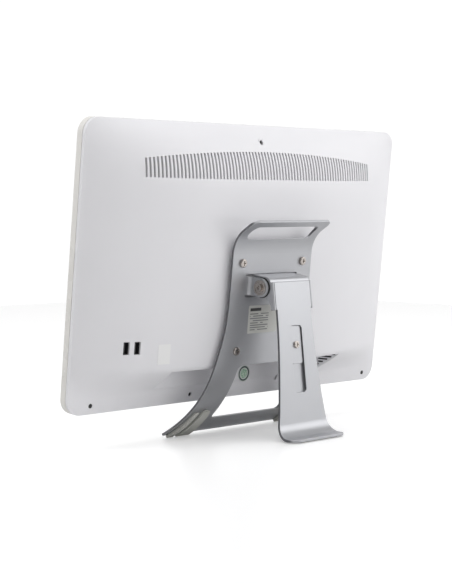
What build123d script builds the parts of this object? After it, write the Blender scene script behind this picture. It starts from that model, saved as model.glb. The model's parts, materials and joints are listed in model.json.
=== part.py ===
from build123d import *
import os
from math import cos, hypot, radians, sin

os.makedirs("parts", exist_ok=True)

# All-in-one desktop computer: a 21.5 inch screen with the whole machine behind it,
# carried on a bent metal stand plate with a hinged rear leg.
# Millimetres. +Z is up, the screen faces -Y, and the floor is z = 0.
# The display leans back, so most parts are drawn in the display's own frame:
#   x   to the right as seen from behind (the world's -X)
#   v   up along the leaning back, 0 at the centre of the mounting-screw pattern
#   n   depth, 0 on the stand plate's rear face, negative towards the screen

# ---------------------------------------------------------------- driving dimensions
TILT = 6.13                      # lean of the display, degrees
MOUNT_HEIGHT = 147.1             # screw pattern centre above the floor
MOUNT_Y = -5.0                   # puts the centre of the footprint at y = 0

WIDTH = 511.6
HEIGHT = 316.6
CENTRE_V = 44.0                  # display centre above the screw pattern
CORNER_R = 18.0
WALL = 2.4

FRONT_N = -57.1                  # screen side of the bezel
SEAM_N = -47.6                   # bezel meets rear cover
RIM_N = -43.8                    # where the side wall turns into the crowned back
CROWN = 36.8                     # height of the crown above the rim
SEAM_GAP = 0.7

VESA = 100.0                     # square mounting pattern
POST_R = 5.5

RECESS_TOP_V = -69.6             # ledge above the connector recess
RECESS_LEFT = -136.0
RECESS_RIGHT = 136.0              # at the floor; this end wall slopes outwards
RECESS_FLARE = 0.71
RECESS_FLOOR_N = -38.0

VENT_COUNT = 74
VENT_SPAN = 370.0
VENT_WIDTH = 2.5
VENT_LOW_V = 142.5
VENT_HIGH_V = 173.3
VENT_ARCH = 10.5

SCREEN_W = 476.6                 # active area of a 21.5 inch 16:9 panel
SCREEN_H = 268.1
SCREEN_V = 48.0
PANEL_W = 495.6
PANEL_H = 290.0
PANEL_V = 46.0
PANEL_FACE_N = -54.7
PANEL_BACK_N = -46.2
CHASSIS_N = -45.0
SHEET = 1.0

BOARD_N = -38.0                  # screen side of the motherboard
BOARD_T = 1.6

PLATE_T = 3.0
PLATE_HALF_W = 66.0
HANDLE_V = 60.0                  # where the handle starts to curl
HANDLE_R = 34.0
HANDLE_TURN = 52.0
HANDLE_LIP = 19.6
ARM_V = -60.0                    # where the arms start to sweep forward
ARM_R = 114.0
ARM_TURN = 52.5
FOOT_HALF_W = 112.0
PAD_T = 3.4

HINGE_N = 16.4
HINGE_V = 24.0
EAR_X = 36.5                     # outer face of each hinge ear
EAR_T = 3.0
EAR_R = 10.7
PIVOT_R = 3.0
RUN_CLEARANCE = 0.05

LEG_LEAN = 6.43                  # lean of the rear leg, degrees from vertical
LEG_BACK_W = 16.2                # leg's rear face behind the hinge axis
LEG_T = 3.0
LEG_HALF_W = 28.3
LEG_TOP_HALF_W = 29.8            # between the cheeks of the hinge bracket
LEG_FOOT_HALF_W = 46.2
LEG_TOP = 4.5
FOOT_REACH_Y = 78.8              # leg foot's rear edge behind the mounting centre
LEG_PAD_T = 1.2
LEG_BEND_R = 16.0
HEEL_R = 13.0
LEG_PAD_INSET = 7.0
SLOT_W = 19.2
SLOT_TOP = -45.0
SLOT_LENGTH = 75.6
BLOCK_LENGTH = 43.0

# ---------------------------------------------------------------- frames
LEAN = radians(TILT)
DISPLAY = Plane(
    origin=(0, MOUNT_Y, MOUNT_HEIGHT),
    x_dir=(-1, 0, 0),
    z_dir=(0, cos(LEAN), -sin(LEAN)),
)
# Side view of the display and stand plate: x is n, y is v, and it faces +X.
SIDE = Plane(origin=DISPLAY.origin, x_dir=DISPLAY.z_dir, z_dir=(1, 0, 0))

HINGE_POINT = DISPLAY.from_local_coords(Vector(0, HINGE_V, HINGE_N))
LEG_ANGLE = radians(LEG_LEAN)
# The leg's own frames, from the hinge axis: "w" is behind it, "up" is along the leg.
LEG_REAR = Plane(
    origin=HINGE_POINT,
    x_dir=(-1, 0, 0),
    z_dir=(0, cos(LEG_ANGLE), sin(LEG_ANGLE)),
)
LEG_SIDE = Plane(origin=HINGE_POINT, x_dir=LEG_REAR.z_dir, z_dir=(1, 0, 0))


def depth(n):
    """The plane parallel to the display at depth n, seen from behind."""
    return DISPLAY.offset(n)


def edges_at_depth(builder, n):
    """The edges that lie wholly at depth n."""
    return builder.edges().filter_by(
        lambda e: abs(DISPLAY.to_local_coords(e @ 0).Z - n) < 0.01
        and abs(DISPLAY.to_local_coords(e @ 0.5).Z - n) < 0.01
    )


def save(builder, name):
    builder.part.label = name
    export_step(builder.part, f"parts/{name}.step")


# ---------------------------------------------------------------- crowned back
def share_across(x):
    return 1 - abs(2 * x / WIDTH) ** 3.24


def share_along(v):
    """Height of the crown from bottom to top: a lip, a 45 degree slope, a flat, a soft fall."""
    lip_top, slope_top, lip_share = -99.0, -64.0, 0.10
    if v > CENTRE_V:
        return 1 - (2 * (v - CENTRE_V) / HEIGHT) ** 5.2
    if v > lip_top:
        t = min(1, (v - lip_top) / (slope_top - lip_top))
        return lip_share + (1 - lip_share) * t * t * (3 - 2 * t)
    bottom = CENTRE_V - HEIGHT / 2
    return lip_share * (v - bottom) / (lip_top - bottom)


def back_n(x, v):
    """Depth of the crowned back at a place on the display."""
    return RIM_N + CROWN * share_across(x) * share_along(v)


def under_crown(shift):
    """Everything on the screen side of the crowned surface, moved by shift along n."""
    columns, rows, margin = 34, 66, 6
    grid = []
    for i in range(columns + 1):
        x = (WIDTH / 2 + margin) * (2 * i / columns - 1)
        line = []
        for j in range(rows + 1):
            v = CENTRE_V + (HEIGHT / 2 + margin) * (2 * j / rows - 1)
            line.append(DISPLAY.from_local_coords(Vector(x, v, back_n(x, v) + shift)))
        grid.append(line)
    surface = Face.make_surface_from_array_of_points(grid, tol=0.02, min_deg=3, max_deg=5)
    return Solid.extrude(surface, -90 * DISPLAY.z_dir)


OUTER_CROWN = under_crown(0)
INNER_CROWN = under_crown(-WALL)
GAUZE_CROWN = under_crown(-WALL - 0.3)


def outline(inset=0.0):
    """The display's rounded outline, drawn in the sketch that is open."""
    with Locations((0, CENTRE_V)):
        RectangleRounded(WIDTH - 2 * inset, HEIGHT - 2 * inset, CORNER_R - inset)


# ---------------------------------------------------------------- screen side
COVER_SCREW_X = (-224, -76, 82, 235)
COVER_SCREW_V = -105.0
TOP_SCREW = (-7.0, 183.5)
COVER_BOSS_N = -45.9

BUTTON_V = -77.0
BUTTON_N = -51.8
BUTTON_L = 10.0
BUTTON_W = 3.6
LED_V = -66.0
SIDE_X = -WIDTH / 2              # the +X side wall, in the display's frame


def side_plane(x):
    """A plane facing the world's +X, with n across and v up, at display x."""
    return SIDE.offset(-x)


def make_front_bezel():
    face_t = 2.2
    with BuildPart() as front_bezel:
        with BuildSketch(depth(FRONT_N)):
            outline()
        extrude(amount=SEAM_N - SEAM_GAP / 2 - FRONT_N)
        fillet(edges_at_depth(front_bezel, FRONT_N), 2.0)
        with BuildSketch(depth(FRONT_N + face_t)):
            outline(WALL)
        extrude(amount=20, mode=Mode.SUBTRACT)
        with BuildSketch(depth(FRONT_N - 1)):
            with Locations((0, SCREEN_V)):
                Rectangle(SCREEN_W + 1.4, SCREEN_H + 1.4)
        extrude(amount=8, mode=Mode.SUBTRACT)
        with BuildSketch(depth(FRONT_N + face_t)):
            with Locations(*[(x, COVER_SCREW_V) for x in COVER_SCREW_X]):
                Circle(3.6)
        extrude(amount=COVER_BOSS_N - FRONT_N - face_t)
        with BuildSketch(depth(COVER_BOSS_N)):
            with Locations(*[(x, COVER_SCREW_V) for x in COVER_SCREW_X]):
                Circle(1.25)
        extrude(amount=-7, mode=Mode.SUBTRACT)
        with BuildSketch(depth(FRONT_N - 1)):
            with Locations((0, CAMERA_V)):
                Circle(2.6)
            for side in (-1, 1):
                with Locations((side * 180, -103)):
                    with GridLocations(3.2, 0, 14, 1):
                        Rectangle(1.2, 9)
        extrude(amount=8, mode=Mode.SUBTRACT)
        with BuildSketch(side_plane(SIDE_X - 2)):
            with Locations((BUTTON_N, BUTTON_V)):
                RectangleRounded(BUTTON_W + 0.5, BUTTON_L + 0.5, BUTTON_W / 2)
            with Locations((BUTTON_N, LED_V)):
                Circle(0.95)
        extrude(amount=-6, mode=Mode.SUBTRACT)
    save(front_bezel, "front_bezel")


CAMERA_V = 196.2


def make_screen():
    with BuildPart() as screen_glass:
        with BuildSketch(depth(PANEL_FACE_N)):
            with Locations((0, PANEL_V)):
                Rectangle(PANEL_W - 2.6, PANEL_H - 4)
        extrude(amount=2.3)
    save(screen_glass, "lcd_screen")

    with BuildPart() as backlight:
        with BuildSketch(depth(PANEL_FACE_N + 2.3)):
            with Locations((0, PANEL_V)):
                Rectangle(PANEL_W, PANEL_H)
        extrude(amount=PANEL_BACK_N - PANEL_FACE_N - 2.3)
    save(backlight, "backlight_unit")


def make_panel_driver_board():
    with BuildPart() as panel_driver_board:
        with BuildSketch(depth(PANEL_BACK_N)):
            with Locations((0, -84)):
                Rectangle(150, 26)
        extrude(amount=1.2)
        with BuildSketch(depth(PANEL_BACK_N + 1.2)):
            with Locations((-52, -84), (-20, -88), (24, -84), (54, -84)):
                Rectangle(12, 9)
        extrude(amount=1.3)
    save(panel_driver_board, "panel_driver_board")


def make_speakers():
    for side, name in ((-1, "speaker_left"), (1, "speaker_right")):
        with BuildPart() as speaker:
            with BuildSketch(depth(PANEL_BACK_N)):
                with Locations((side * 182, -72)):
                    RectangleRounded(60, 20, 3)
            extrude(amount=5.2)
            with BuildSketch(depth(PANEL_BACK_N + 5.2)):
                with Locations((side * 182, -72)):
                    SlotOverall(44, 12)
            extrude(amount=-1.2, mode=Mode.SUBTRACT)
        save(speaker, name)


def make_camera():
    with BuildPart() as camera_module:
        with BuildSketch(depth(-54.2)):
            with Locations((0, CAMERA_V)):
                Rectangle(50, 6.4)
        extrude(amount=1.0)
        with BuildSketch(depth(-53.2)):
            with Locations((0, CAMERA_V), (-16, CAMERA_V), (16, CAMERA_V)):
                Rectangle(6, 5)
        extrude(amount=2.4)
    save(camera_module, "camera_module")

    with BuildPart() as camera_lens:
        with BuildSketch(depth(-56.4)):
            with Locations((0, CAMERA_V)):
                Circle(2.4)
        extrude(amount=2.2)
    save(camera_lens, "camera_lens")


def make_antennas():
    with BuildPart() as antennas:
        with BuildSketch(depth(PANEL_BACK_N)):
            with Locations((-110, 182), (110, 182)):
                Rectangle(34, 8)
        extrude(amount=0.8)
    save(antennas, "wifi_antennas")


def make_power_button():
    with BuildPart() as power_button:
        with BuildSketch(side_plane(SIDE_X + WALL + 0.1)):
            with Locations((BUTTON_N - 0.1, BUTTON_V)):
                RectangleRounded(4.2, BUTTON_L + 3, 1.2)
        extrude(amount=-2.0)
        with BuildSketch(side_plane(SIDE_X + WALL + 0.1)):
            with Locations((BUTTON_N, BUTTON_V)):
                RectangleRounded(BUTTON_W, BUTTON_L, BUTTON_W / 2 - 0.05)
        extrude(amount=WALL + 0.1)
    save(power_button, "power_button")

    with BuildPart() as switch_board:
        with BuildSketch(side_plane(SIDE_X + 6.6)):
            with Locations((BUTTON_N, -75)):
                Rectangle(4.6, 32)
        extrude(amount=-1.0)
        with BuildSketch(side_plane(SIDE_X + 6.6)):
            with Locations((BUTTON_N, BUTTON_V)):
                Rectangle(3.4, 3.4)
        extrude(amount=0.9)
    save(switch_board, "power_switch_board")

    with BuildPart() as power_led:
        with BuildSketch(side_plane(SIDE_X + 6.6)):
            with Locations((BUTTON_N, LED_V)):
                Circle(0.9)
        extrude(amount=6.5)
    save(power_led, "power_led")


# ---------------------------------------------------------------- rear cover
# Connectors on the ledge: name, x centre, width, height above the board's rear face.
PORTS = (
    ("dc", -86, 9.4, 11.0),
    ("lan", -68, 16.2, 13.6),
    ("usb", -32, 14.6, 15.8),
    ("usb", -13, 14.6, 15.8),
    ("hdmi", 9, 15.4, 6.2),
    ("audio", 24, 8.6, 8.6),
    ("audio", 36, 8.6, 8.6),
    ("vga", 75, 31.0, 12.6),
)
PORT_FACE_V = RECESS_TOP_V + 0.6
LAN_W = 11.9
LAN_H = 7.2
LAN_DEEP = 12.0
SIDE_USB_X = (-196.4, -183.4)
SIDE_USB_V = -41.0
SIDE_USB_W = 6.9
SIDE_USB_H = 13.4
LOCK_SLOT = (66.0, -96.5)
LOUVRE_COUNT = 5
LOUVRE_PITCH = 3.4
LOUVRE_W = 2.1
TOP_BOSS_N = -31.0


def port_n(height):
    """Depth of a connector's centre."""
    return BOARD_N + BOARD_T + height / 2


def facing_down(v):
    """A plane across the display that faces down: x across and n up the sketch."""
    origin = DISPLAY.from_local_coords(Vector(0, v, 0))
    return Plane(origin=origin, x_dir=(-1, 0, 0), z_dir=-DISPLAY.y_dir)


def sloped_wall_x(n, outwards=0.0):
    """Where the sloping end wall of the recess is at depth n, moved outwards square to itself."""
    return RECESS_RIGHT + RECESS_FLARE * (n - RECESS_FLOOR_N) + outwards * hypot(1, RECESS_FLARE)


def recess_outline(grow):
    """The connector recess seen from above: one square end and one that slopes outwards."""
    low_n, high_n = RECESS_FLOOR_N - grow, RECESS_FLOOR_N + 60
    left = RECESS_LEFT - grow
    Polyline(
        (left, low_n), (sloped_wall_x(low_n, grow), low_n), (sloped_wall_x(high_n, grow), high_n),
        (left, high_n), close=True,
    )


def wall_strip(low_n, high_n, inside, outside):
    """A strip along the sloping end wall, seen from above."""
    Polyline(
        (sloped_wall_x(low_n, inside), low_n), (sloped_wall_x(low_n, outside), low_n),
        (sloped_wall_x(high_n, outside), high_n), (sloped_wall_x(high_n, inside), high_n),
        close=True,
    )


def make_back_cover():
    with BuildPart() as recess_walls:
        with BuildSketch(facing_down(RECESS_TOP_V + WALL)):
            with BuildLine():
                recess_outline(WALL)
            make_face()
        extrude(amount=80)

    with BuildPart() as cavity:
        with BuildSketch(depth(SEAM_N - 8)):
            outline(WALL)
        extrude(amount=70)
        add(INNER_CROWN, mode=Mode.INTERSECT)
        add(recess_walls.part, mode=Mode.SUBTRACT)

    tubes, bores = cover_screw_tubes()
    holes = cover_holes()
    with BuildPart() as back_cover:
        with BuildSketch(depth(SEAM_N + SEAM_GAP / 2)):
            outline()
        extrude(amount=70)
        add(OUTER_CROWN, mode=Mode.INTERSECT)
        with BuildSketch(facing_down(RECESS_TOP_V)):
            with BuildLine():
                recess_outline(0)
            make_face()
        extrude(amount=80, mode=Mode.SUBTRACT)
        add(cavity.part, mode=Mode.SUBTRACT)
        # Tongue that locates the cover inside the bezel.
        with BuildSketch(depth(SEAM_N - 1.8)):
            outline(WALL + 0.2)
            with Locations((0, CENTRE_V)):
                inner_w, inner_h = WIDTH - 2 * WALL - 2.8, HEIGHT - 2 * WALL - 2.8
                RectangleRounded(inner_w, inner_h, CORNER_R - WALL - 1.4, mode=Mode.SUBTRACT)
        extrude(amount=SEAM_GAP / 2 + 1.8)
        with BuildSketch(depth(SEAM_N + SEAM_GAP / 2)):
            outline(WALL - 0.2)
            with Locations((0, CENTRE_V)):
                RectangleRounded(inner_w, inner_h, CORNER_R - WALL - 1.4, mode=Mode.SUBTRACT)
        extrude(amount=1.2)
        add(tubes)
        add(bores, mode=Mode.SUBTRACT)
        with BuildSketch(depth(RIM_N)):
            vent_slots()
        extrude(amount=45, mode=Mode.SUBTRACT)
        add(holes, mode=Mode.SUBTRACT)
    save(back_cover, "back_cover")


def cover_screw_tubes():
    """Tubes that hold the cover screws deep in the cover, and the bores inside them."""
    spots = [(x, COVER_SCREW_V, COVER_BOSS_N) for x in COVER_SCREW_X]
    spots.append((*TOP_SCREW, TOP_BOSS_N))
    with BuildPart() as tubes:
        for x, v, floor_n in spots:
            with BuildSketch(depth(floor_n)):
                with Locations((x, v)):
                    Circle(4.4)
            extrude(amount=back_n(x, v) - 0.8 - floor_n)
    with BuildPart() as bores:
        for x, v, floor_n in spots:
            with BuildSketch(depth(floor_n + 1.2)):
                with Locations((x, v)):
                    Circle(2.7)
            extrude(amount=back_n(x, v) - floor_n + 4)
            with BuildSketch(depth(floor_n - 1)):
                with Locations((x, v)):
                    Circle(1.4)
            extrude(amount=4)
    return tubes.part, bores.part


def vent_top(x):
    return VENT_HIGH_V - VENT_ARCH * (2 * x / VENT_SPAN) ** 2


def vent_slots():
    for i in range(VENT_COUNT):
        x = VENT_SPAN * (i / (VENT_COUNT - 1) - 0.5)
        with Locations((x, VENT_LOW_V)):
            Rectangle(VENT_WIDTH, vent_top(x) - VENT_LOW_V, align=(Align.CENTER, Align.MIN))


def cover_holes():
    """Openings for the mounting posts, the sockets, the lock slot and the end louvres."""
    with BuildPart() as holes:
        with BuildSketch(depth(RECESS_FLOOR_N + 4)):
            with GridLocations(VESA, VESA, 2, 2):
                Circle(POST_R + 1)
            with Locations(*[(x, SIDE_USB_V) for x in SIDE_USB_X]):
                Rectangle(SIDE_USB_W + 0.5, SIDE_USB_H + 0.5)
        extrude(amount=40)
        with BuildSketch(depth(RIM_N)):
            with Locations(LOCK_SLOT):
                RectangleRounded(3.2, 7.2, 1.5)
        extrude(amount=8)
        for _, x, width, height in PORTS:
            with BuildSketch(depth(port_n(height) - height / 2 - 0.4)):
                with Locations((x, RECESS_TOP_V)):
                    Rectangle(width + 0.8, 8)
            extrude(amount=height + 0.8)
        for i in range(LOUVRE_COUNT):
            v = RECESS_TOP_V - 0.8 - i * LOUVRE_PITCH
            surface_n = back_n(RECESS_RIGHT, v - LOUVRE_W)
            with BuildSketch(facing_down(v)):
                with BuildLine():
                    wall_strip(RECESS_FLOOR_N + 0.6, surface_n - 3.4, -1, WALL + 0.2)
                make_face()
            extrude(amount=LOUVRE_W)
    return holes.part


def make_louvre_gauze():
    """Black gauze stuck inside the cover, behind the louvres."""
    with BuildPart() as gauze:
        with BuildSketch(facing_down(RECESS_TOP_V)):
            with BuildLine():
                wall_strip(RECESS_FLOOR_N, RECESS_FLOOR_N + 30, WALL, WALL + 0.5)
            make_face()
        extrude(amount=22)
        add(GAUZE_CROWN, mode=Mode.INTERSECT)
    save(gauze, "louvre_gauze")


def make_cover_screws():
    head_r, head_h, thread_r = 2.4, 1.5, 1.2
    spots = [(x, COVER_SCREW_V, COVER_BOSS_N + 1.2) for x in COVER_SCREW_X]
    spots.append((*TOP_SCREW, TOP_BOSS_N + 1.2))
    with BuildPart() as cover_screws:
        for x, v, seat_n in spots:
            with BuildSketch(depth(seat_n)):
                with Locations((x, v)):
                    Circle(head_r)
            extrude(amount=head_h)
            with BuildSketch(depth(seat_n)):
                with Locations((x, v)):
                    Circle(thread_r)
            extrude(amount=-7)
            with BuildSketch(depth(seat_n + head_h)):
                with Locations((x, v)):
                    cross(2.6, 0.7)
            extrude(amount=-0.9, mode=Mode.SUBTRACT)
    save(cover_screws, "cover_screws")


def cross(length, width):
    """The outline of a cross-head driver recess."""
    Rectangle(length, width)
    Rectangle(width, length)


# ---------------------------------------------------------------- inside
def make_chassis():
    with BuildPart() as chassis:
        with BuildSketch(depth(CHASSIS_N)):
            with Locations((0, 55)):
                Rectangle(430, 234)
            with Locations((-150, 120), (0, 120), (150, 120)):
                RectangleRounded(90, 50, 8, mode=Mode.SUBTRACT)
        extrude(amount=SHEET)
        with BuildSketch(depth(CHASSIS_N + SHEET)):
            with Locations((0, 171.5)):
                Rectangle(360, 1.0)
            with Locations((-214.5, 50), (214.5, 50)):
                Rectangle(1.0, 150)
        extrude(amount=6)
        with BuildSketch(depth(CHASSIS_N)):
            with Locations((TOP_SCREW[0], 180)):
                Rectangle(20, 18)
        extrude(amount=SHEET)
        with BuildSketch(depth(CHASSIS_N + SHEET)):
            with Locations(TOP_SCREW):
                Circle(3.4)
        extrude(amount=TOP_BOSS_N - CHASSIS_N - SHEET)
        with BuildSketch(depth(TOP_BOSS_N)):
            with Locations(TOP_SCREW):
                Circle(1.25)
        extrude(amount=-9, mode=Mode.SUBTRACT)
    save(chassis, "chassis")

    with BuildPart() as brackets:
        with BuildSketch(depth(PANEL_BACK_N)):
            with Locations((-223, 52), (223, 52)):
                Rectangle(46, 215)
            with Locations((-232, 52), (232, 52)):
                RectangleRounded(12, 150, 5, mode=Mode.SUBTRACT)
        extrude(amount=CHASSIS_N - PANEL_BACK_N)
    save(brackets, "panel_brackets")


def make_vesa_posts():
    with BuildPart() as vesa_posts:
        with BuildSketch(depth(CHASSIS_N + SHEET)):
            with GridLocations(VESA, VESA, 2, 2):
                Circle(8.5)
        extrude(amount=1.4)
        with BuildSketch(depth(CHASSIS_N + SHEET)):
            with GridLocations(VESA, VESA, 2, 2):
                Circle(POST_R)
        extrude(amount=-PLATE_T - CHASSIS_N - SHEET)
        with BuildSketch(depth(-PLATE_T)):
            with GridLocations(VESA, VESA, 2, 2):
                Circle(2.05)
        extrude(amount=-14, mode=Mode.SUBTRACT)
    save(vesa_posts, "vesa_posts")


BOARD_LOW_V = -62.0
BOARD_HIGH_V = 100.0
STANDOFFS = ((-94, -52), (94, -52), (-94, 94), (94, 94), (0, 94))


def make_motherboard():
    middle = (BOARD_LOW_V + BOARD_HIGH_V) / 2
    top_n = BOARD_N + BOARD_T
    with BuildPart() as motherboard:
        with BuildSketch(depth(BOARD_N)):
            with Locations((0, middle)):
                Rectangle(200, BOARD_HIGH_V - BOARD_LOW_V)
            with GridLocations(VESA, VESA, 2, 2):
                Circle(9.5, mode=Mode.SUBTRACT)
            with Locations(*STANDOFFS):
                Circle(1.7, mode=Mode.SUBTRACT)
        extrude(amount=BOARD_T)
        with BuildSketch(depth(top_n)):
            with Locations((62, -20)):
                Rectangle(24, 24)
            with Locations((-70, -30), (-78, -30), (-86, -30), (20, -38), (28, -38), (36, -38)):
                Circle(3)
        extrude(amount=5)
        with BuildSketch(depth(top_n)):
            with Locations((86, 5), (86, 14), (-52, 8), (-52, 0), (-60, 84), (-84, 40)):
                Rectangle(8, 5)
        extrude(amount=2)
    save(motherboard, "motherboard")

    with BuildPart() as standoffs:
        with BuildSketch(depth(CHASSIS_N + SHEET)):
            with Locations(*STANDOFFS):
                Circle(3)
        extrude(amount=BOARD_N - CHASSIS_N - SHEET)
        with BuildSketch(depth(BOARD_N)):
            with Locations(*STANDOFFS):
                Circle(1.25)
        extrude(amount=-5, mode=Mode.SUBTRACT)
    save(standoffs, "board_standoffs")

    with BuildPart() as board_screws:
        with BuildSketch(depth(top_n)):
            with Locations(*STANDOFFS):
                Circle(2.8)
        extrude(amount=1.6)
        with BuildSketch(depth(top_n)):
            with Locations(*STANDOFFS):
                Circle(1.2)
        extrude(amount=-5.5)
        with BuildSketch(depth(top_n + 1.6)):
            with Locations(*STANDOFFS):
                cross(3.0, 0.7)
        extrude(amount=-0.8, mode=Mode.SUBTRACT)
    save(board_screws, "board_screws")


PIPE_R = 3.0
PIPE_N = -25.2
FIN_X = -140.0
FIN_V = 111.0


def make_cooler():
    top_n = BOARD_N + BOARD_T
    with BuildPart() as cpu:
        with BuildSketch(depth(top_n)):
            with Locations((-5, 15)):
                Rectangle(37.5, 37.5)
        extrude(amount=2)
        with BuildSketch(depth(top_n + 2)):
            with Locations((-5, 15)):
                Rectangle(28, 28)
        extrude(amount=2.2)
    save(cpu, "processor")

    with BuildPart() as block:
        with BuildSketch(depth(top_n + 4.2)):
            with Locations((-5, 15)):
                RectangleRounded(54, 50, 4)
        extrude(amount=PIPE_N - PIPE_R - top_n - 4.2)
    save(block, "heatsink_block")

    with BuildPart() as heat_pipe:
        with BuildLine(depth(PIPE_N)) as route:
            FilletPolyline((18, 15), (-80, 15), (-80, FIN_V), (FIN_X - 40, FIN_V), radius=17)
        start = route.line @ 0
        heading = route.line % 0
        with BuildSketch(Plane(origin=start, z_dir=heading)):
            Circle(PIPE_R)
        sweep(path=route.line)
    save(heat_pipe, "heat_pipe")

    with BuildPart() as fin_stack:
        low_n, high_n, fins = -36.0, -21.6, 25
        with BuildSketch(depth(low_n)):
            with Locations((FIN_X, FIN_V)):
                Rectangle(76, 14)
        extrude(amount=0.8)
        with BuildSketch(depth(high_n - 0.8)):
            with Locations((FIN_X, FIN_V)):
                Rectangle(76, 14)
        extrude(amount=0.8)
        with BuildSketch(depth(low_n)):
            with Locations((FIN_X, FIN_V)):
                with GridLocations((76 - 0.6) / (fins - 1), 0, fins, 1):
                    Rectangle(0.6, 14)
        extrude(amount=high_n - low_n)
        with BuildSketch(SIDE.offset(-FIN_X - 60)):
            with Locations((PIPE_N, FIN_V)):
                Circle(PIPE_R + 0.1)
        extrude(amount=120, mode=Mode.SUBTRACT)
    save(fin_stack, "fin_stack")


FAN_X = -140.0
FAN_V = 59.0
FAN_LOW_N = -37.0
FAN_HIGH_N = -23.0


def make_blower():
    size, inlet_r, bore_r = 80.0, 21.0, 34.0
    with BuildPart() as housing:
        with BuildSketch(depth(FAN_LOW_N)):
            with Locations((FAN_X, FAN_V)):
                RectangleRounded(size, size, 8)
        extrude(amount=FAN_HIGH_N - FAN_LOW_N)
        with BuildSketch(depth(FAN_LOW_N + 1.2)):
            with Locations((FAN_X, FAN_V)):
                Circle(bore_r + 3)
            with Locations((FAN_X, FAN_V)):
                Rectangle(2 * bore_r, size / 2 + 1, align=(Align.CENTER, Align.MIN))
        extrude(amount=FAN_HIGH_N - FAN_LOW_N - 2.4, mode=Mode.SUBTRACT)
        with BuildSketch(depth(FAN_HIGH_N + 1)):
            with Locations((FAN_X, FAN_V)):
                Circle(inlet_r)
        extrude(amount=-3, mode=Mode.SUBTRACT)
        with BuildSketch(depth(FAN_LOW_N + 1.2)):
            with Locations((FAN_X, FAN_V)):
                Circle(1.5)
        extrude(amount=9)
        with BuildSketch(depth(CHASSIS_N + SHEET)):
            with Locations((FAN_X, FAN_V)):
                with GridLocations(66, 66, 2, 2):
                    Circle(3)
        extrude(amount=FAN_LOW_N - CHASSIS_N - SHEET)
    save(housing, "blower_housing")

    blades, hub_r, tip_r = 17, 12.0, 31.0
    with BuildPart() as rotor:
        with BuildSketch(depth(FAN_LOW_N + 2.0)):
            with Locations((FAN_X, FAN_V)):
                Circle(hub_r)
        extrude(amount=9.4)
        with BuildSketch(depth(FAN_LOW_N + 2.0)):
            with Locations((FAN_X, FAN_V)):
                Circle(tip_r)
        extrude(amount=0.8)
        with BuildSketch(depth(FAN_LOW_N + 2.0)):
            with Locations((FAN_X, FAN_V)):
                with PolarLocations((tip_r + 20) / 2, blades):
                    with Locations(Location((0, 0), 28)):
                        Rectangle(11, 0.9)
        extrude(amount=8.4)
        with BuildSketch(depth(FAN_LOW_N + 1)):
            with Locations((FAN_X, FAN_V)):
                Circle(1.5 + RUN_CLEARANCE)
        extrude(amount=9.6, mode=Mode.SUBTRACT)
    save(rotor, "fan_rotor")


def make_drive_and_memory():
    with BuildPart() as hard_drive:
        with BuildSketch(depth(-41.0)):
            with Locations((153, 20)):
                RectangleRounded(69.8, 100, 2)
        extrude(amount=9.5)
    save(hard_drive, "hard_drive")

    with BuildPart() as drive_bracket:
        with BuildSketch(depth(CHASSIS_N + SHEET)):
            with Locations((153, 20)):
                Rectangle(76, 90)
        extrude(amount=3.0)
        with BuildSketch(depth(-41.0)):
            with Locations((153 - 37, 20), (153 + 37, 20)):
                Rectangle(1.6, 90)
        extrude(amount=7)
    save(drive_bracket, "drive_bracket")

    top_n = BOARD_N + BOARD_T
    with BuildPart() as sockets:
        with BuildSketch(depth(top_n)):
            with Locations((56, 64)):
                Rectangle(74, 5)
        extrude(amount=10.5)
    save(sockets, "memory_socket")

    with BuildPart() as modules:
        for low_n in (-34.6, -29.8):
            with BuildSketch(depth(low_n)):
                with Locations((56, 66.5)):
                    Rectangle(67.6, 26, align=(Align.CENTER, Align.MIN))
            extrude(amount=1.2)
            with BuildSketch(depth(low_n + 1.2)):
                with Locations((56, 79.5)):
                    with GridLocations(15.5, 0, 4, 1):
                        Rectangle(11, 14)
            extrude(amount=1.1)
    save(modules, "memory_modules")

    with BuildPart() as wifi_card:
        with BuildSketch(depth(top_n + 2)):
            with Locations((-76, 66)):
                Rectangle(30, 27)
        extrude(amount=1.0)
        with BuildSketch(depth(top_n + 3)):
            with Locations((-76, 66)):
                Rectangle(22, 19)
        extrude(amount=1.6)
        with BuildSketch(depth(top_n)):
            with Locations((-76, 50)):
                Rectangle(30, 5)
        extrude(amount=4.4)
    save(wifi_card, "wifi_card")

    with BuildPart() as cell:
        with BuildSketch(depth(top_n)):
            with Locations((74, 34)):
                Circle(10)
        extrude(amount=3.2)
    save(cell, "coin_cell")


def make_ribbon():
    """Flat display cable: off the driver board, over the chassis edge, under the motherboard."""
    thick = 0.3
    with BuildPart() as ribbon:
        with BuildSketch(side_plane(-9)):
            with BuildLine():
                Polyline(
                    (-44.6, -80), (-44.6, -71), (-43.6, -66), (-40.4, -56), (-40.4, -46),
                    (-40.4 - thick, -46), (-40.4 - thick, -56), (-43.6 - thick, -66),
                    (-44.6 - thick, -71), (-44.6 - thick, -80), close=True,
                )
            make_face()
        extrude(amount=-18)
        with BuildSketch(depth(-40.4)):
            with Locations((0, -49)):
                Rectangle(22, 6)
        extrude(amount=BOARD_N + 40.4)
    save(ribbon, "display_ribbon")


# ---------------------------------------------------------------- connectors
def ports_of(kind):
    """Centre x, width, height and centre depth of each connector of one kind."""
    return [(x, w, h, port_n(h)) for name, x, w, h in PORTS if name == kind]


def port_box(width, deep):
    """A connector's outline on the board, from its face inwards."""
    Rectangle(width, deep, align=(Align.CENTER, Align.MIN))


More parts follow.
